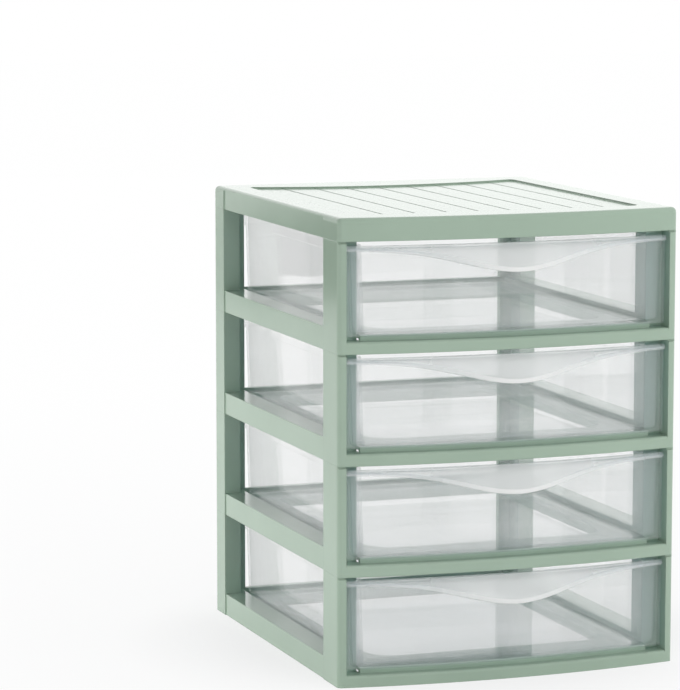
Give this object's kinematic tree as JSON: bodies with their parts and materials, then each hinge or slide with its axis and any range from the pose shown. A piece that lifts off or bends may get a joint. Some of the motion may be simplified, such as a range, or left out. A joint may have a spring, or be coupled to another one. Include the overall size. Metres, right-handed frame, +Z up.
{
  "type": "desktop drawer unit",
  "caption": "Stacked desktop drawer unit: opaque frames with open sides, a plank-grooved cover and clear bowed drawers with flared finger pulls.",
  "frame": {"origin": "on the ground under the middle of the footprint, the pulls included", "axes": "+Z up, -Y out of the front, the way the drawers pull, and +X to the right as seen from the front"},
  "size_m": [0.18, 0.2116, 0.2315],
  "materials": {
    "sage_plastic": "satin moulded polypropylene",
    "clear_plastic": "clear moulded polystyrene"
  },
  "bodies": {
    "cabinet": {"tier_frame_1": "sage_plastic", "tier_frame_2": "sage_plastic", "tier_frame_3": "sage_plastic", "tier_frame_4": "sage_plastic", "top_cover": "sage_plastic"},
    "drawer_1": {"drawer_1": "clear_plastic"},
    "drawer_2": {"drawer_2": "clear_plastic"},
    "drawer_3": {"drawer_3": "clear_plastic"},
    "drawer_4": {"drawer_4": "clear_plastic"}
  },
  "joints": [
    {"name": "drawer_1_slide", "type": "slide", "parent": "cabinet", "child": "drawer_1", "axis": [0, -1, 0], "range_m": [0, 0.15]},
    {"name": "drawer_2_slide", "type": "slide", "parent": "cabinet", "child": "drawer_2", "axis": [0, -1, 0], "range_m": [0, 0.15]},
    {"name": "drawer_3_slide", "type": "slide", "parent": "cabinet", "child": "drawer_3", "axis": [0, -1, 0], "range_m": [0, 0.15]},
    {"name": "drawer_4_slide", "type": "slide", "parent": "cabinet", "child": "drawer_4", "axis": [0, -1, 0], "range_m": [0, 0.15]}
  ]
}
